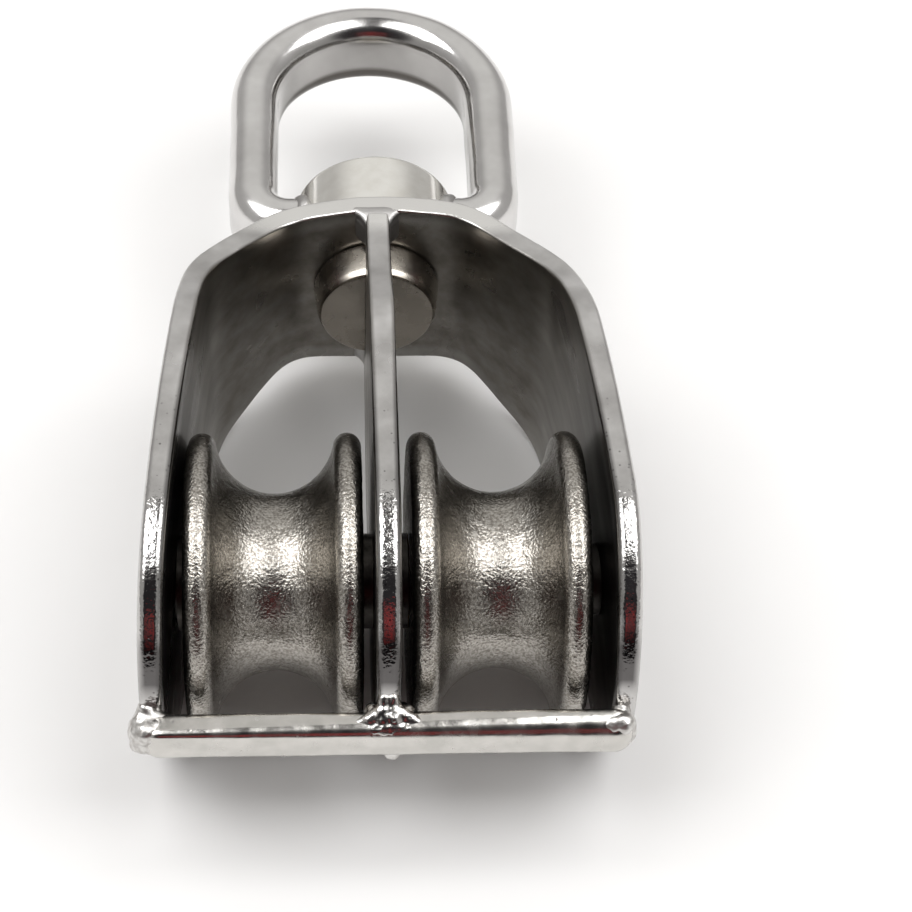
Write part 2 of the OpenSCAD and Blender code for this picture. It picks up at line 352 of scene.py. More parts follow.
def make_strap(material):
    """One bent plate: flat rings round its edge, rows across its faces, all laid along the bend."""
    run, xs, ys, headings = bent_path()
    at_axle = float(np.interp(0, -ys, run))
    straight = 150  # stations above the axle, before the round end
    stations = list(np.linspace(0, at_axle, straight))
    turns = np.linspace(0, pi / 2, 50)[1:]
    stations += [float(np.interp(STRAP_R * sin(a), -ys, run)) for a in turns]
    fronts, backs = [], []
    for k, u in enumerate(stations):
        y = float(np.interp(u, run, ys))
        if k < straight:
            fronts.append(profile_width(y, FRONT_PROFILE))
            backs.append(-profile_width(y, BACK_PROFILE))
        else:
            half = STRAP_R * cos(turns[k - straight])
            fronts.append(half)
            backs.append(-half)
    us = [-u for u in stations[:0:-1]] + stations
    fronts = fronts[:0:-1] + fronts
    fronts = [front + crown_arch(u) for u, front in zip(us, fronts)]
    backs = backs[:0:-1] + backs
    count = len(us) - 1
    loop = [(us[i], fronts[i]) for i in range(count + 1)]
    loop += [(us[i], backs[i]) for i in range(count - 1, 0, -1)]
    loop = np.array(loop)
    heights = np.interp(np.abs(loop[:, 0]), run, ys)
    radii = np.interp(heights, [-14, 8, 22, 36], [0.62, 0.5, 0.3, 0.25])
    rings, rim = edge_rings(loop, radii, STRAP_T / 2)
    size = len(loop)
    flat = [p for ring in rings for p in ring]
    edge = [value for value in rim for _ in range(size)]
    faces = grid_faces(len(rings), size)
    columns = 22  # steps across a face
    for base, sheet in ((0, rings[0]), ((len(rings) - 1) * size, rings[-1])):
        rows = []
        for i in range(count + 1):
            front, back = base + i, base + (size - i) % size
            if front == back or i == count:
                rows.append([front])
                continue
            row = [front]
            for k in range(1, columns):
                share = k / columns
                flat.append(sheet[i] * (1 - share) + sheet[(size - i) % size] * share)
                edge.append(0.2 if k in (1, columns - 1) else 0.0)
                row.append(len(flat) - 1)
            rows.append(row + [back])
        for one, two in zip(rows, rows[1:]):
            if len(one) == 1:
                faces += [(one[0], a, b) for a, b in zip(two, two[1:])]
            elif len(two) == 1:
                faces += [(two[0], b, a) for a, b in zip(one, one[1:])]
            else:
                faces += [(one[k], one[k + 1], two[k + 1], two[k]) for k in range(columns)]
    # inner marks the faces towards the sheaves, which the plate finish darkens as painted shade
    points, inner = [], [1.0 if w < 0 else 0.0 for u, v, w in flat]
    for u, v, w in flat:
        side = -1 if u < 0 else 1
        x, y = np.interp(abs(u), run, xs), np.interp(abs(u), run, ys)
        turn = np.interp(abs(u), run, headings)
        place = side * (x + w * sin(turn)), y + w * cos(turn)
        # between the axle and the shoulders both legs stand 0.35 mm further right
        sway = 0.35 * np.interp(place[1], [-15, -2, 18, 30], [0.1, 1, 1, 0])
        points.append((place[0] + sway, place[1], v))
    piece = make_piece("bent_strap", points, faces, material, "frame", ["strap"],
                       {"edge": edge, "inner": inner})
    roughen(piece, [(7, 0.06, 1), (2.4, 0.045, 2), (1.0, 0.026, 5)], 0.1 + 0.9 * np.array(edge))
    return piece


def crown_rise(y):
    """How far the middle plate's front edge rises to meet the crown's edge."""
    return 0.45 * min(1, max(0, (y - CROWN_Y + 3) / 3)) ** 2


def make_middle_plate(material):
    """Flat plate between the sheaves, cut away round the pin's head into two prongs."""
    notch_z = PIN_HEAD_R + HEAD_ROOM
    notch_y = PIN_LOW - HEAD_ROOM
    heights = np.linspace(0, CROWN_Y, 80)
    right = [(y, profile_width(y, FRONT_PROFILE, 1.6) + crown_rise(y)) for y in heights]
    left = [(y, -profile_width(y, BACK_PROFILE, 1.6)) for y in heights[::-1]]
    line = right + [(CROWN_Y, notch_z), (notch_y, notch_z), (notch_y, -notch_z), (CROWN_Y, -notch_z)]
    line += left + arc((0, 0), STRAP_R, -pi / 2, -1.5 * pi, 80)[1:-1]
    line = resample(line, 0.3, closed=True)
    line = (np.roll(line, 1, axis=0) + line + np.roll(line, -1, axis=0)) / 3
    radii = np.interp(line[:, 0], [-14, 8, 22, 36], [0.62, 0.5, 0.34, 0.3])
    rings, rim = edge_rings(line, radii, MID_T / 2)
    tangent = np.roll(line, -1, axis=0) - np.roll(line, 1, axis=0)
    tangent /= np.linalg.norm(tangent, axis=1)[:, None]
    inward = np.stack([tangent[:, 1], -tangent[:, 0]], axis=1)
    flat = line + inward * (radii[:, None] + 0.35)
    rings = [np.column_stack([flat, rings[0][:, 2]])] + rings + [np.column_stack([flat, rings[-1][:, 2]])]
    rim = [0] + rim + [0]
    size = len(line)
    points = [(w, y, z) for ring in rings for y, z, w in ring]
    faces = grid_faces(len(rings), size)
    faces.append(tuple(range(size)))
    faces.append(tuple((len(rings) - 1) * size + i for i in range(size))[::-1])
    edge = [value for value in rim for _ in range(size)]
    # the whole middle plate counts as inner, so both its faces get the painted shade
    piece = make_piece("middle_cheek", points, faces, material, "frame",
                       ["middle_plate"], {"edge": edge, "inner": [1.0] * len(edge)})
    roughen(piece, [(4, 0.05, 7), (1.7, 0.035, 8), (0.8, 0.018, 9)], 0.1 + 0.9 * np.array(edge))
    return piece


def make_tie_bar(material):
    """Flat bar, slightly waved, with one long edge rounded and more so towards the right."""
    thick, around = BAR_TOP - BAR_LOW, 72
    reach, rows, end_r = BAR_L / 2, 170, 1.4
    points = []
    for x in np.linspace(-reach, reach, rows):
        section = rounded_box(thick, BAR_H, [0.5, 0.5, 0.6, 1.2 + 0.65 * x / reach], around)
        scale = sqrt(1 - 0.75 * max(0, 1 - (reach - abs(x)) / end_r) ** 2)
        points += [(x, (BAR_LOW + BAR_TOP) / 2 + y * scale, z * scale) for y, z in section]
    faces = grid_faces(rows, len(section))
    faces.append(tuple(range(len(section))))
    faces.append(tuple((rows - 1) * len(section) + i for i in range(len(section)))[::-1])
    piece = make_piece("ground_tie_bar", points, faces, material, "frame", ["tie_bar"])
    roughen(piece, [(6, 0.06, 11), (2.2, 0.016, 12), (0.9, 0.008, 13), (0.4, 0.004, 14)])
    return piece


# ---------------------------------------------------------------- turned and cast pieces

def sheave_profile():
    """Closed profile of a sheave as (radius, height): bore, sides, round rims and groove."""
    rim_x, rim_y = SHEAVE_W / 2 - RIM_R, SHEAVE_R - RIM_R
    groove_r = (rim_x ** 2 + (rim_y - ROOT_R) ** 2 - RIM_R ** 2) / (2 * (RIM_R + rim_y - ROOT_R))
    groove_y = ROOT_R + groove_r
    meet = atan2(rim_y - groove_y, rim_x)
    side = [(r, -SHEAVE_W / 2) for r in np.linspace(BUSH_R, rim_y, 16)[:-1]]
    rim = arc((rim_y, -rim_x), RIM_R, -pi / 2, pi / 2 + meet, 18)
    groove = [(groove_y - groove_r * cos(a), groove_r * sin(a))
              for a in np.linspace(-pi / 2 - meet, pi / 2 + meet, 62)[1:-1]]
    half = side + rim
    return half + groove + [(r, -h) for r, h in half[::-1]] + [(BUSH_R, 3.0), (BUSH_R, -3.0)]


def make_sheave(side_name, side, material):
    """A cast sheave whose skin is uneven everywhere but near the bush."""
    points, faces = lathe(sheave_profile(), 380)
    points = moved(along_x(points), dx=side * SHEAVE_X)
    piece = make_piece(side_name + "_cast_sheave", points, faces, material,
                       side_name + "_wheel", [side_name + "_sheave"])
    seed = 20 + 5 * side
    roughen(piece, [(2.6, 0.035, seed), (1.1, 0.026, seed + 1), (0.55, 0.014, seed + 2)],
            lambda p: np.clip((np.hypot(p[:, 1], p[:, 2]) - 4.6) / 1.5, 0, 1))
    return piece


def make_axle(material):
    """Axle whose two ends are hammered to low domes."""
    r_head, dome = 4.7, 1.3
    shank = AXLE_END - dome
    half = [(0, AXLE_END)]
    half += [(r_head * sin(a), shank + dome * cos(a) ** 0.8) for a in np.linspace(0.06, pi / 2 - 0.02, 22)]
    half += [(r_head, shank), (r_head - 0.1, shank - 0.4), (AXLE_R, shank - 0.5)]
    half += [(AXLE_R, h) for h in np.linspace(shank - 1.5, 0.5, 18)]
    profile = half + [(r, -h) for r, h in half[::-1]]
    points, faces = lathe_to_axis(profile, 96)
    piece = make_piece("riveted_axle", along_x(points), faces, material, "frame", ["axle"])
    roughen(piece, [(2.2, 0.1, 31), (0.9, 0.03, 32)],
            lambda p: np.clip((np.abs(p[:, 0]) - shank) / 0.5, 0, 1) * 0.6)
    return piece


def make_pin(material):
    """Swivel pin: flat head with a bright chamfer inside the strap, riveted dome over the hub."""
    chamfer, taper, shank_r, dome_r = 0.3, 0.45, 3.0, 4.2
    face_r = PIN_HEAD_R - taper
    head_top = PIN_LOW + HEAD_T
    dome = PIN_TOP - HUB_TOP
    profile = [(0, PIN_LOW)] + [(r, PIN_LOW) for r in np.linspace(0.3, face_r - chamfer - 0.1, 16)]
    profile += arc((face_r - chamfer, PIN_LOW + chamfer), chamfer, -pi / 2, 0, 6)
    sides = np.linspace(0.06, 0.94, 12)
    profile += [(face_r + taper * sqrt(s), PIN_LOW + chamfer + s * (HEAD_T - chamfer - 0.3)) for s in sides]
    profile += arc((PIN_HEAD_R - 0.25, head_top - 0.25), 0.25, 0, pi / 2, 5)
    profile += [(r, head_top) for r in np.linspace(PIN_HEAD_R - 0.6, shank_r, 6)]
    profile += [(shank_r, h) for h in np.linspace(head_top + 0.4, HUB_TOP, 12)]
    profile += [(dome_r, HUB_TOP)]
    profile += [(dome_r * cos(a), HUB_TOP + dome * sin(a)) for a in np.linspace(0.12, pi / 2 - 0.08, 12)]
    profile += [(0, PIN_TOP)]
    points, faces = lathe_to_axis(profile, 120)
    piece = make_piece("turned_swivel_pin", points, faces, material, "eye", ["swivel_pin"])
    roughen(piece, [(5, 0.03, 41), (1.2, 0.006, 42)])
    return piece


def make_hub(material):
    """Turned hub with rounded edges, bored for the swivel pin."""
    edge, bore_r = 0.55, 3.1
    profile = [(r, HUB_LOW) for r in np.linspace(bore_r, HUB_R - edge, 8)[:-1]]
    profile += arc((HUB_R - edge, HUB_LOW + edge), edge, -pi / 2, 0, 7)
    profile += [(HUB_R, h) for h in np.linspace(HUB_LOW + edge + 0.2, HUB_TOP - edge - 0.2, 26)]
    profile += arc((HUB_R - edge, HUB_TOP - edge), edge, 0, pi / 2, 7)
    profile += [(r, HUB_TOP) for r in np.linspace(HUB_R - edge - 0.3, bore_r, 14)]
    points, faces = lathe(profile, 180)
    piece = make_piece("turned_hub", points, faces, material, "eye", ["swivel_hub"])
    roughen(piece, [(6, 0.03, 51), (1.4, 0.004, 52)],
            lambda p: np.clip((np.hypot(p[:, 0], p[:, 2]) - 4.5) / 1.5, 0, 1))
    return piece


def eye_path():
    """Middle line of the eye's bar, from one side of the hub round to the other."""
    leg = span("eye_bail").x / 2 - EYE_W / 2
    low = EYE_LOW + EYE_W / 2
    arch = EYE_TOP - EYE_W / 2 - leg
    corner = leg - EYE_CORNER_R
    half = [(HUB_R - 1.6, low), (corner, low)]
    half += arc((corner, low + EYE_CORNER_R), EYE_CORNER_R, -pi / 2, 0, 16)
    half += [(leg, arch)] + arc((0, arch), leg, 0, pi / 2, 40)
    return resample(half + [(-x, y) for x, y in half[-2::-1]], 0.45)


def make_eye(material):
    """Oval bar bent to a loop. The attribute "under" marks its inner, lower side, where a dark reflection
    is painted.
    """
    around, side_r = 76, EYE_W / 2 - 0.02
    section = rounded_box(EYE_W, EYE_H, [side_r] * 4, around)
    path = eye_path()
    tangent = np.gradient(path, axis=0)
    tangent /= np.linalg.norm(tangent, axis=1)[:, None]
    points = []
    for (x, y), (tx, ty) in zip(path, tangent):
        points += [(x + a * ty, y - a * tx, z) for a, z in section]
    size = len(section)
    faces = grid_faces(len(path), size)
    faces.append(tuple(range(size)))
    faces.append(tuple((len(path) - 1) * size + i for i in range(size))[::-1])
    # where the painted dark reflection goes: partly on the inner flank, fully on the inner lower side
    flank = [float(np.interp(-a, [1.5, 2.1], [0, 0.45])) for a, z in section]
    lower = [float(np.interp(-z, [0.8, 1.7], [0, 1]) * np.interp(-a, [1.2, 1.7], [0, 1]))
             for a, z in section]
    under = [max(pair) for pair in zip(flank, lower)] * len(path)
    piece = make_piece("eye_bar", points, faces, material, "eye", ["eye_bail"],
                       {"under": under})
    roughen(piece, [(9, 0.09, 61), (3, 0.03, 62), (1.2, 0.008, 63)])
    return piece


# ---------------------------------------------------------------- welds

def make_bar_end_weld(side_name, side, material):
    """A blob that wraps the corner where the tie bar meets a leg's round end, fatter on the left."""
    out, fat, sunk = (19.3, 1.0, 0.0) if side_name == "left" else (18.75, 0.86, 0.5)
    keys = [[(out, -13.6, 1.5 - sunk, 0.8), (out, -14.2, 0.8 - sunk, 1.1),
             (out + 0.1, -14.9, 0.4 - sunk, 1.5), (out + 0.1, -14.9, -0.7, 1.4)],
            [(out - 1.3, -15.2, 0.7, 0.95), (out, -15.1, 0.6, 1.3)],
            [(out - 1.3, -15.2, -0.7, 0.95), (out, -15.0, -0.6, 1.35)],
            [(out - 0.2, -14.2, 0.6 - sunk, 1.15), (out - 1.6, -14.5, 0.95 - sunk / 2, 0.7)]]
    balls = [(side * x, y, z, r * fat) for line in keys for x, y, z, r in chain(line)]
    return lump(side_name + "_corner_weld", balls, "frame", [side_name + "_bar_weld"], material,
                blur=10, waves=[(1.6, 0.16, 70 + side), (0.7, 0.10, 75 + side), (0.35, 0.04, 77 + side)])


def make_middle_bar_weld(material):
    """A neck from the middle plate's round end to the bar, beads along the bar, and a drop under it."""
    balls = []
    for side in (-1, 1):
        balls += chain([(side * 0.35, -13.6, 2.7, 0.5), (side * 0.4, -14.2, 2.0, 0.6),
                        (side * 0.4, -14.8, 1.5, 0.8)])
        balls += chain([(side * 0.4, -14.3, 1.9, 0.75), (side * 1.3, -14.7, 1.55, 0.65),
                        (side * 2.3, -15.1, 1.3, 0.5)])
        balls += chain([(0, -15.35, 1.0, 0.85), (side * 1.6, -15.45, 0.9, 0.75),
                        (side * 2.8, -15.4, 0.9, 0.5)])
        balls += chain([(side * 1.2, -14.1, 1.3, 0.85), (side * 1.3, -14.1, -2.0, 0.9)])
    balls += chain([(0.1, -15.2, -1.5, 0.9), (0.3, -15.5, -2.1, 0.8)])
    return lump("centre_bar_weld", balls, "frame", ["middle_bar_weld"], material, cell=0.11,
                waves=[(1.3, 0.10, 80), (0.6, 0.07, 81), (0.3, 0.03, 82)])


def make_crown_welds(material):
    """Metal that widens the middle plate's edges into the crown, and the fillets behind those edges."""
    reach, bead = 2.7, 0.44
    front, back = FRONT_PROFILE[-1][1], BACK_PROFILE[-1][1]
    fillet_in, fillet_out, rows = 0.7, 2.6, 8
    balls = []
    for share in np.linspace(0, 1, 16):
        y = CROWN_Y - 2.3 + reach * share
        half = MID_T / 2 - bead + 1.3 * share ** 3
        for z in (front - bead + crown_rise(y) - 0.01, bead - back):
            balls += chain([(-half, y, z, bead), (half, y, z, bead)])
    for side in (-1, 1):
        behind_front = np.linspace(front - fillet_in, front - fillet_out, rows)
        behind_back = np.linspace(fillet_in - back, fillet_out - back, rows)
        for z in (*behind_front, *behind_back):
            balls += chain([(side * 0.8, CROWN_Y - 0.9, z, 0.45), (side * 1.1, CROWN_Y - 0.4, z, 0.5),
                            (side * 1.7, CROWN_Y + 0.1, z, 0.35)])
    return lump("crown_fillets", balls, "frame", ["middle_plate_welds"], material, cell=0.11,
                blur=12, waves=[(2.2, 0.05, 85), (0.9, 0.02, 86)])


def make_eye_weld(side_name, side, material):
    """Bead round the joint between the hub and one end of the eye's bar."""
    low = EYE_LOW + EYE_W / 2
    balls = []
    for k in range(44):
        a = 2 * pi * k / 44
        z = (EYE_H / 2 - 0.1) * sin(a)
        x = sqrt(HUB_R ** 2 - z ** 2) + 0.1
        size = 0.72 + 0.16 * noise.noise(Vector((side * 3.0, cos(a) * 2, sin(a) * 2)))
        balls.append((side * x, low + (EYE_W / 2 - 0.1) * cos(a), z, size))
    return lump(side_name + "_hub_weld", balls, "eye", [side_name + "_eye_weld"], material,
                waves=[(1.2, 0.07, 5 + side), (0.6, 0.03, 8 + side)])


# ---------------------------------------------------------------- materials

class Finish:
    """Node helper for one metal finish. Sizes are in millimetres on the object."""

    def __init__(self, name, colour):
        self.material = bpy.data.materials.new(name)
        self.material.use_nodes = True
        self.tree = self.material.node_tree
        self.shader = self.tree.nodes["Principled BSDF"]
        self.shader.inputs["Metallic"].default_value = 1.0
        self.shader.inputs["Base Color"].default_value = (*colour, 1)
        self.place = self.tree.nodes.new("ShaderNodeTexCoord").outputs["Object"]
        self.height = None

    def node(self, kind, **values):
        made = self.tree.nodes.new(kind)
        for key, value in values.items():
            setattr(made, key, value)
        return made

    def link(self, output, target):
        self.tree.links.new(output, target)

    def noise(self, size, detail=3.0, stretch=(1, 1, 1), rough=0.55):
        """Noise whose features are about size millimetres, stretched along some axes."""
        mapping = self.node("ShaderNodeMapping")
        mapping.inputs["Scale"].default_value = [1 / (size * MM * s) for s in stretch]
        texture = self.node("ShaderNodeTexNoise")
        texture.inputs["Scale"].default_value = 1
        texture.inputs["Detail"].default_value = detail
        texture.inputs["Roughness"].default_value = rough
        self.link(self.place, mapping.inputs["Vector"])
        self.link(mapping.outputs["Vector"], texture.inputs["Vector"])
        return texture.outputs["Fac"]

    def cells(self, size):
        """Distance to scattered points about size millimetres apart."""
        mapping = self.node("ShaderNodeMapping")
        mapping.inputs["Scale"].default_value = [1 / (size * MM)] * 3
        texture = self.node("ShaderNodeTexVoronoi")
        texture.inputs["Scale"].default_value = 1
        self.link(self.place, mapping.inputs["Vector"])
        self.link(mapping.outputs["Vector"], texture.inputs["Vector"])
        return texture.outputs["Distance"]

    def ranged(self, value, low, high, out_low, out_high):
        made = self.node("ShaderNodeMapRange")
        limits = {"From Min": low, "From Max": high, "To Min": out_low, "To Max": out_high}
        for socket, number in limits.items():
            made.inputs[socket].default_value = number
        self.link(value, made.inputs["Value"])
        return made.outputs["Result"]

    def maths(self, operation, one, two):
        made = self.node("ShaderNodeMath", operation=operation)
        for socket, value in zip(made.inputs, (one, two)):
            if isinstance(value, (int, float)):
                socket.default_value = value
            else:
                self.link(value, socket)
        return made.outputs[0]

    def axis(self, name):
        """One object coordinate in millimetres about the axle."""
        parts = self.node("ShaderNodeSeparateXYZ")
        self.link(self.place, parts.inputs[0])
        shifted = self.maths("SUBTRACT", parts.outputs[name], getattr(AXLE, name.lower()))
        return self.maths("DIVIDE", shifted, MM)

    def attribute(self, name):
        return self.node("ShaderNodeAttribute", attribute_name=name).outputs["Fac"]

    def blend(self, factor, one, two):
        """One number where the factor is 0, the other where it is 1."""
        return self.maths("ADD", one, self.maths("MULTIPLY", factor, self.maths("SUBTRACT", two, one)))

    def mixed(self, one, two, factor):
        """A colour between two, each of which is three numbers or another mix."""
        mix = self.node("ShaderNodeMix", data_type="RGBA")
        for socket, colour in ((mix.inputs[6], one), (mix.inputs[7], two)):
            if isinstance(colour, tuple):
                socket.default_value = (*colour, 1)
            else:
                self.link(colour, socket)
        self.link(factor, mix.inputs[0])
        return mix.outputs[2]

    def colour(self, mix):
        self.link(mix, self.shader.inputs["Base Color"])

    def tint(self, dark, light, factor):
        self.colour(self.mixed(dark, light, factor))

    def roughness(self, value):
        self.link(value, self.shader.inputs["Roughness"])

    def bump(self, height, depth, strength=1.0):
        """Adds relief of about depth millimetres."""
        made = self.node("ShaderNodeBump")
        made.inputs["Distance"].default_value = depth * MM
        made.inputs["Strength"].default_value = strength
        self.link(height, made.inputs["Height"])
        if self.height is not None:
            self.link(self.height, made.inputs["Normal"])
        self.height = made.outputs["Normal"]
        self.link(self.height, self.shader.inputs["Normal"])


def plate_finish():
    """Plate: dull brushed insides darkened with painted shade, a painted highlight on the crown edge, satin
    edges below it, then pitted mirror edges.
    """
    f = Finish("polished_plate", (0.60, 0.59, 0.58))
    edge, inner = f.attribute("edge"), f.attribute("inner")
    lower = f.ranged(f.axis("Y"), 6, 17, 1, 0)
    cloud = f.noise(3.0)
    edge_rough = f.maths("ADD", f.ranged(lower, 0, 1, 0.38, 0.07), f.ranged(cloud, 0.35, 0.65, -0.03, 0.05))
    face_rough = f.ranged(f.noise(5.0, stretch=(1, 4, 1)), 0.35, 0.65, 0.26, 0.40)
    crown = f.ranged(f.axis("Y"), 31.5, 33, 0, 1)
    edge_rough = f.maths("SUBTRACT", edge_rough, f.maths("MULTIPLY", crown, 0.16))
    f.roughness(f.blend(edge, face_rough, edge_rough))
    streaks = f.ranged(f.noise(1.8, stretch=(1, 12, 1)), 0.3, 0.7, 0, 1)
    outside = f.mixed((0.50, 0.49, 0.48), (0.58, 0.57, 0.56), streaks)
    # painted shade: the inner faces are much darker than the outer ones
    inside = f.mixed((0.20, 0.185, 0.165), (0.31, 0.295, 0.27), streaks)
    # more painted shade: near black low down between the sheaves, fading out towards the crown
    inside = f.mixed((0.05, 0.047, 0.045), inside, f.ranged(f.axis("Y"), 3, 16, 0, 1))
    rim = f.mixed((0.46, 0.45, 0.44), (0.62, 0.61, 0.60), f.ranged(cloud, 0.3, 0.7, 0, 1))
    # painted highlight: the crown's edge is lightened far beyond the rest of the rim
    rim = f.mixed(rim, (0.80, 0.79, 0.77), crown)
    # the last millimetres of the near edges, with a painted dark reflection
    above_bar = f.ranged(f.axis("Y"), -13.7, -13.3, 0, 1)
    low_end = f.ranged(f.axis("Y"), -12, -11, 1, 0)
    near = f.ranged(f.axis("Z"), 0, 1, 0, 0.9)
    painted_dark_end = f.maths("MULTIPLY", f.maths("MULTIPLY", above_bar, low_end), near)
    rim = f.mixed(rim, (0.08, 0.075, 0.075), painted_dark_end)
    pitted = f.ranged(f.axis("Y"), 4, 12, 1, 0)
    pits = f.maths("MULTIPLY", f.ranged(f.cells(0.6), 0.08, 0.2, 0.85, 0), pitted)
    rim = f.mixed(rim, (0.12, 0.11, 0.11), pits)
    f.colour(f.mixed(f.mixed(outside, inside, inner), rim, edge))
    f.bump(f.noise(0.25, 2, (1, 40, 1)), 0.003, 0.5)
    peel = f.maths("MULTIPLY", edge, f.ranged(f.axis("Y"), -3, 7, 1, 0.18))
    f.bump(f.maths("MULTIPLY", f.noise(0.7, 2), peel), 0.06, 0.8)
    f.bump(f.maths("MULTIPLY", f.noise(0.3, 2), peel), 0.035, 0.9)
    f.bump(f.maths("MULTIPLY", f.ranged(f.cells(1.1), 0.0, 0.16, 0, 1), peel), 0.04, 0.8)
    return f.material


def bar_finish():
    """Tie bar: ground along its length, with small dents."""
    f = Finish("ground_bar", (0.62, 0.61, 0.58))
    f.roughness(f.ranged(f.noise(1.6), 0.35, 0.65, 0.14, 0.28))
    f.tint((0.52, 0.51, 0.48), (0.66, 0.64, 0.61), f.ranged(f.noise(2.4), 0.3, 0.7, 0, 1))
    f.bump(f.noise(0.16, 2, (30, 1, 1)), 0.0025, 0.6)
    f.bump(f.noise(0.8, 2), 0.012, 0.7)
    f.bump(f.ranged(f.cells(1.3), 0.0, 0.16, 0, 1), 0.02, 0.5)
    return f.material


def cast_finish():
    """Tumbled casting skin: close round grain that sparkles, darker in its hollows."""
    f = Finish("cast_sheave", (0.55, 0.53, 0.49))
    skin = f.noise(0.22, 2, rough=0.5)
    f.roughness(f.ranged(f.noise(1.4), 0.3, 0.7, 0.17, 0.29))
    f.tint((0.23, 0.21, 0.185), (0.46, 0.44, 0.405), f.ranged(skin, 0.36, 0.60, 0, 1))
    f.bump(skin, 0.065, 1.0)
    f.bump(f.noise(0.7, 1), 0.04, 0.5)
    return f.material


def turned_finish(name, dark, light, smooth, dull):
    """Turned steel: fine rings round the axis, cloudy polish, and a darker face on the pin's head."""
    face = 0.34, 0.31, 0.27
    f = Finish(name, light)
    f.roughness(f.ranged(f.noise(2.2), 0.3, 0.7, smooth, dull))
    body = f.mixed(dark, light, f.ranged(f.noise(1.8), 0.3, 0.7, 0, 1))
    f.colour(f.mixed(face, body, f.ranged(f.axis("Y"), PIN_LOW + 0.1, PIN_LOW + 0.4, 0, 1)))
    f.bump(f.noise(0.12, 1, (60, 1, 60)), 0.003, 0.7)
    f.bump(f.noise(0.7, 2), 0.005, 0.6)
    return f.material


def axle_finish():
    """Rougher shank between the legs painted near black as shade, polished hammered ends outside them."""
    f = Finish("axle_steel", (0.6, 0.59, 0.57))
    outside = f.ranged(f.maths("ABSOLUTE", f.axis("X"), 0), AXLE_END - 1.9, AXLE_END - 1.7, 0, 1)
    f.roughness(f.blend(outside, 0.5, f.ranged(f.noise(1.2), 0.3, 0.7, 0.18, 0.32)))
    # painted shade: the shank is near black between the legs
    f.tint((0.07, 0.065, 0.06), (0.60, 0.59, 0.57), outside)
    f.bump(f.noise(0.5, 2), 0.012, 0.6)
    return f.material


def eye_finish():
    """Polished oval bar, faintly marked, with a painted dark reflection on its inner face."""
    f = Finish("polished_eye", (0.68, 0.67, 0.66))
    f.roughness(f.ranged(f.noise(4.0), 0.3, 0.7, 0.12, 0.24))
    polish = f.mixed((0.60, 0.59, 0.58), (0.73, 0.72, 0.71), f.ranged(f.noise(5.0), 0.3, 0.7, 0, 1))
    # painted dark reflection on the inner, lower side
    f.colour(f.mixed(polish, (0.13, 0.12, 0.11), f.attribute("under")))
    f.bump(f.noise(0.2, 2, (1, 30, 1)), 0.002, 0.6)
    f.bump(f.noise(1.4, 2), 0.014, 0.6)
    return f.material


def weld_finish():
    """Weld metal: lumpy, with small pits, satin at the tie bar's ends and under the crown."""
    f = Finish("weld_bead", (0.68, 0.67, 0.65))
    corner = f.ranged(f.maths("ABSOLUTE", f.axis("X"), 0), 12, 16, 0, 0.16)
    satin = f.maths("ADD", corner, f.ranged(f.axis("Y"), 20, 25, 0, 0.22))
    f.roughness(f.maths("ADD", f.ranged(f.noise(0.9), 0.3, 0.7, 0.12, 0.26), satin))
    bead = f.mixed((0.44, 0.42, 0.40), (0.64, 0.63, 0.61), f.ranged(f.noise(0.5), 0.35, 0.6, 0, 1))
    f.colour(f.mixed(bead, (0.46, 0.45, 0.44), f.ranged(f.axis("Y"), 20, 25, 0, 1)))
    f.bump(f.noise(0.35, 3), 0.035, 0.8)
    f.bump(f.ranged(f.cells(0.8), 0.0, 0.2, 0, 1), 0.02, 0.6)
    return f.material


def washer_finish():
    """Washer steel painted near black as the shade in the gaps beside the sheaves, slightly uneven."""
    f = Finish("washer_steel", (0.22, 0.21, 0.20))
    f.roughness(f.ranged(f.noise(1.0), 0.3, 0.7, 0.35, 0.5))
    # painted shade: near-black colour
    f.tint((0.05, 0.045, 0.04), (0.12, 0.11, 0.10), f.ranged(f.noise(0.8), 0.3, 0.7, 0, 1))
    f.bump(f.noise(0.4, 2), 0.01, 0.6)
    return f.material


def bush_finish():
    """Sintered bronze: dull, finely speckled."""
    f = Finish("bush_bronze", (0.48, 0.35, 0.20))
    f.roughness(f.ranged(f.noise(0.5), 0.3, 0.7, 0.35, 0.55))
    f.tint((0.36, 0.25, 0.14), (0.55, 0.41, 0.24), f.ranged(f.noise(0.3), 0.35, 0.65, 0, 1))
    f.bump(f.noise(0.15, 2), 0.01, 0.6)
    return f.material


def floor_finish():
    """Matt white paper with very faint unevenness."""
    f = Finish("white_paper", (0.82, 0.82, 0.82))
    f.shader.inputs["Metallic"].default_value = 0.0
    f.roughness(f.ranged(f.noise(20), 0.3, 0.7, 0.8, 0.95))
    f.tint((0.81, 0.805, 0.80), (0.84, 0.835, 0.83), f.ranged(f.noise(30), 0.3, 0.7, 0, 1))
    f.bump(f.noise(1.5, 2), 0.01, 0.3)
    return f.material


# ---------------------------------------------------------------- stage

def make_floor():
    half, cuts = 1.5, 24
    line = np.linspace(-half, half, cuts)
    mesh = bpy.data.meshes.new("floor")
    mesh.from_pydata([(x, y, 0) for y in line for x in line], [],
                     grid_faces(cuts, cuts, wrap_columns=False))
    mesh.materials.append(floor_finish())
    floor = bpy.data.objects.new("floor", mesh)
    bpy.context.scene.collection.objects.link(floor)


def soft_box(name, x, power):
    """A rectangular light above one side, tilted about Y towards the floor below the axle's middle."""
    lamp = bpy.data.lights.new(name, "AREA")
    lamp.shape = "RECTANGLE"
    lamp.size, lamp.size_y = BOX_ALONG, BOX_ACROSS
    lamp.energy = power
    holder = bpy.data.objects.new(name, lamp)
    holder.location = x, BOX_Y, BOX_UP
    holder.rotation_euler = Vector((-x, 0, -BOX_UP)).to_track_quat("-Z", "Y").to_euler()
    bpy.context.scene.collection.objects.link(holder)


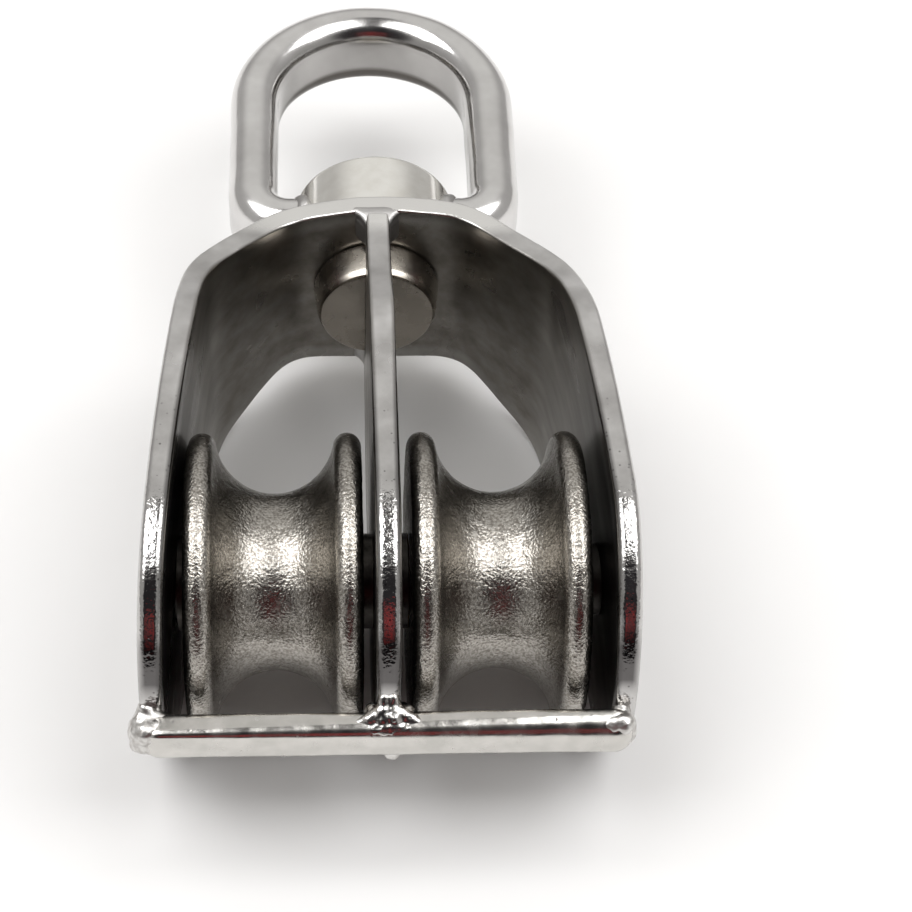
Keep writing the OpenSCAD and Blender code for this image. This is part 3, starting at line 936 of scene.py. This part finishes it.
def make_room():
    """A grey studio, paler on the far side, with a dark band overhead and a dark, partly red near side."""
    world = bpy.data.worlds.new("studio")
    world.use_nodes = True
    bpy.context.scene.world = world
    nodes, links = world.node_tree.nodes, world.node_tree.links
    back = nodes["Background"]
    place = nodes.new("ShaderNodeTexCoord")

    def lobe(direction, inner, outer):
        """1 within the angle inner of a direction, falling to 0 at the angle outer."""
        dot = nodes.new("ShaderNodeVectorMath")
        dot.operation = "DOT_PRODUCT"
        dot.inputs[1].default_value = Vector(direction).normalized()
        links.new(place.outputs["Generated"], dot.inputs[0])
        ease = nodes.new("ShaderNodeMapRange")
        ease.interpolation_type = "SMOOTHSTEP"
        ease.inputs["From Min"].default_value = cos(radians(outer))
        ease.inputs["From Max"].default_value = cos(radians(inner))
        links.new(dot.outputs["Value"], ease.inputs["Value"])
        return ease.outputs["Result"]

    def layer(below, colour, factor):
        mix = nodes.new("ShaderNodeMix")
        mix.data_type = "RGBA"
        mix.inputs["B"].default_value = (*colour, 1)
        if isinstance(below, tuple):
            mix.inputs["A"].default_value = (*below, 1)
        else:
            links.new(below, mix.inputs["A"])
        links.new(factor, mix.inputs["Factor"])
        return mix.outputs["Result"]

    def towards(azimuth, elevation):
        """Direction in degrees round from the near side and up from the floor."""
        a, e = radians(azimuth), radians(elevation)
        return sin(a) * cos(e), -cos(a) * cos(e), sin(e)

    room = layer((0.47, 0.46, 0.45), (0.76, 0.75, 0.73), lobe(towards(180, 50), 12, 46))
    for elevation in (58, 68, 78, 88, 98, 107):
        room = layer(room, (0.08, 0.075, 0.075), lobe(towards(0, elevation), 2.5, 7))
    room = layer(room, (0.03, 0.028, 0.03), lobe(towards(0, 28), 30, 42))
    for azimuth, red, grey in ((-11, 0.20, 0.055), (11, 0.20, 0.055), (0, 0.33, 0.045)):
        for elevation in (18, 29):
            room = layer(room, (red, grey, grey), lobe(towards(azimuth, elevation), 1.5, 7))
    links.new(room, back.inputs["Color"])
    back.inputs["Strength"].default_value = 1.0


def make_camera():
    """The photograph's view: a long lens close above the tie bar's side."""
    yaw, pitch, roll = radians(5.08), radians(50.25), radians(3.50)
    forward = Vector((sin(yaw) * cos(pitch), cos(yaw) * cos(pitch), -sin(pitch)))
    level = Vector((cos(yaw), -sin(yaw), 0))
    raised = level.cross(forward)
    right = level * cos(roll) + raised * sin(roll)
    up = raised * cos(roll) - level * sin(roll)
    camera = bpy.data.objects.new("camera", bpy.data.cameras.new("camera"))
    camera.data.lens = 96.11
    camera.data.sensor_width = 36
    camera.data.clip_start = 0.01
    camera.matrix_world = Matrix((right, up, -forward)).transposed().to_4x4()
    camera.location = AXLE + Vector((-5.52, -122.63, 164.41)) * MM
    bpy.context.scene.collection.objects.link(camera)
    bpy.context.scene.camera = camera


# ---------------------------------------------------------------- the block

plate, bar, cast, axle_steel = plate_finish(), bar_finish(), cast_finish(), axle_finish()
bright_turned = turned_finish("bright_turned_steel", (0.86, 0.84, 0.79), (0.95, 0.94, 0.90), 0.08, 0.16)
dark_turned = turned_finish("dark_turned_steel", (0.52, 0.48, 0.42), (0.66, 0.62, 0.56), 0.18, 0.32)
polished, weld, bronze, dull = eye_finish(), weld_finish(), bush_finish(), washer_finish()

make_strap(plate)
make_middle_plate(plate)
make_tie_bar(bar)
make_axle(axle_steel)
make_pin(dark_turned)
make_hub(bright_turned)
make_eye(polished)
make_middle_bar_weld(weld)
make_crown_welds(weld)
for side_name, side in (("left", -1), ("right", 1)):
    make_sheave(side_name, side, cast)
    make_bar_end_weld(side_name, side, weld)
    make_eye_weld(side_name, side, weld)
for name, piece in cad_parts.items():
    if name.endswith("_bush"):
        piece.data.materials.clear()
        piece.data.materials.append(bronze)
    if name.endswith("_washer"):
        piece.data.materials.clear()
        piece.data.materials.append(dull)

make_floor()
make_room()
make_camera()
soft_box("left_box", -0.255, 1.95)
soft_box("right_box", 0.26, 1.7)
bpy.context.scene.view_settings.view_transform = "Standard"
